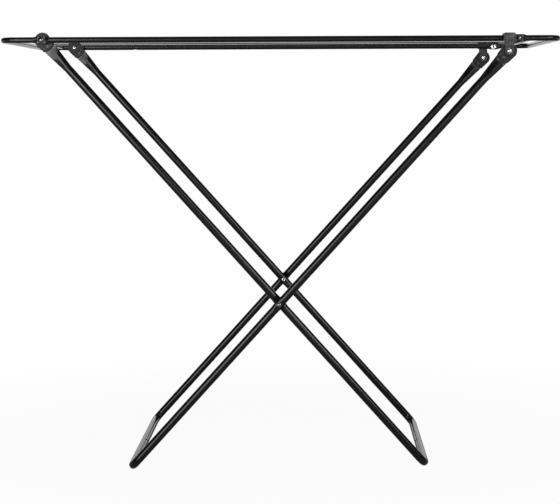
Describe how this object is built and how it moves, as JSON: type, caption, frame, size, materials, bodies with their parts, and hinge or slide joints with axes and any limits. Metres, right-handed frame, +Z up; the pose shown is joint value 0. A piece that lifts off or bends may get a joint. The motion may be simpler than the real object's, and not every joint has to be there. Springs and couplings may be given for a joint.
{
  "type": "folding clothes airer",
  "caption": "Free-standing clothes airer with crossed tubular leg frames under a wired rack that folds flat between them.",
  "frame": {"origin": "on the floor, midway between the ends and the sides of the rack", "axes": "+X along the rack towards the clip end, +Y across the rack, +Z up"},
  "size_m": [1.274, 0.5914, 1.0055],
  "materials": {
    "black_tube": "gloss black powder coat",
    "black_wire": "satin black coat",
    "head_plastic": "satin moulded",
    "clip_plastic": "matte moulded",
    "bush_nylon": "plain",
    "rivet_zinc": "bright zinc"
  },
  "bodies": {
    "inner_frame": {"inner_leg_tube": "black_tube", "inner_leg_head_near": "head_plastic", "inner_leg_head_far": "head_plastic", "rack_pivot_rivet_near": "rivet_zinc", "rack_pivot_rivet_far": "rivet_zinc", "rack_pivot_bush_near": "bush_nylon", "rack_pivot_bush_far": "bush_nylon", "scissor_rivet_near": "rivet_zinc", "scissor_rivet_far": "rivet_zinc", "scissor_bush_near": "bush_nylon", "scissor_bush_far": "bush_nylon"},
    "outer_frame": {"outer_leg_tube": "black_tube", "outer_leg_head_near": "head_plastic", "outer_leg_head_far": "head_plastic", "clip_rivet_near": "rivet_zinc", "clip_rivet_far": "rivet_zinc"},
    "rack": {"rack_frame_tube": "black_tube", "rack_frame_joint_plug": "bush_nylon", "cross_bar_left": "black_wire", "cross_bar_right": "black_wire", "drying_wire_1": "black_wire", "drying_wire_2": "black_wire", "drying_wire_3": "black_wire", "drying_wire_4": "black_wire", "drying_wire_5": "black_wire", "stop_rivet_near": "rivet_zinc", "stop_rivet_far": "rivet_zinc", "stop_washer_near": "rivet_zinc", "stop_washer_far": "rivet_zinc"},
    "clip_near": {"rail_clip_near": "clip_plastic"},
    "clip_far": {"rail_clip_far": "clip_plastic"}
  },
  "joints": [
    {"name": "leg_scissor", "type": "hinge", "parent": "inner_frame", "child": "outer_frame", "pos_m": [-0.00235, 0, 0.38606], "axis": [0, -1, 0], "range_deg": [0, 81]},
    {"name": "rack_fold", "type": "hinge", "parent": "inner_frame", "child": "rack", "pos_m": [-0.54, 0, 0.988], "axis": [0, 1, 0], "range_deg": [0, 46.8]},
    {"name": "clip_near_swing", "type": "hinge", "parent": "outer_frame", "child": "clip_near", "pos_m": [0.5155, -0.284, 0.9585], "axis": [0, 1, 0], "range_deg": [0, 42.1]},
    {"name": "clip_far_swing", "type": "hinge", "parent": "outer_frame", "child": "clip_far", "pos_m": [0.5155, 0.284, 0.9585], "axis": [0, 1, 0], "range_deg": [0, 42.1]}
  ],
  "couplings": [
    {"joint": "rack_fold", "follows": "leg_scissor", "ratio": 0.57778},
    {"joint": "clip_near_swing", "follows": "leg_scissor", "ratio": 0.51975},
    {"joint": "clip_far_swing", "follows": "leg_scissor", "ratio": 0.51975}
  ]
}
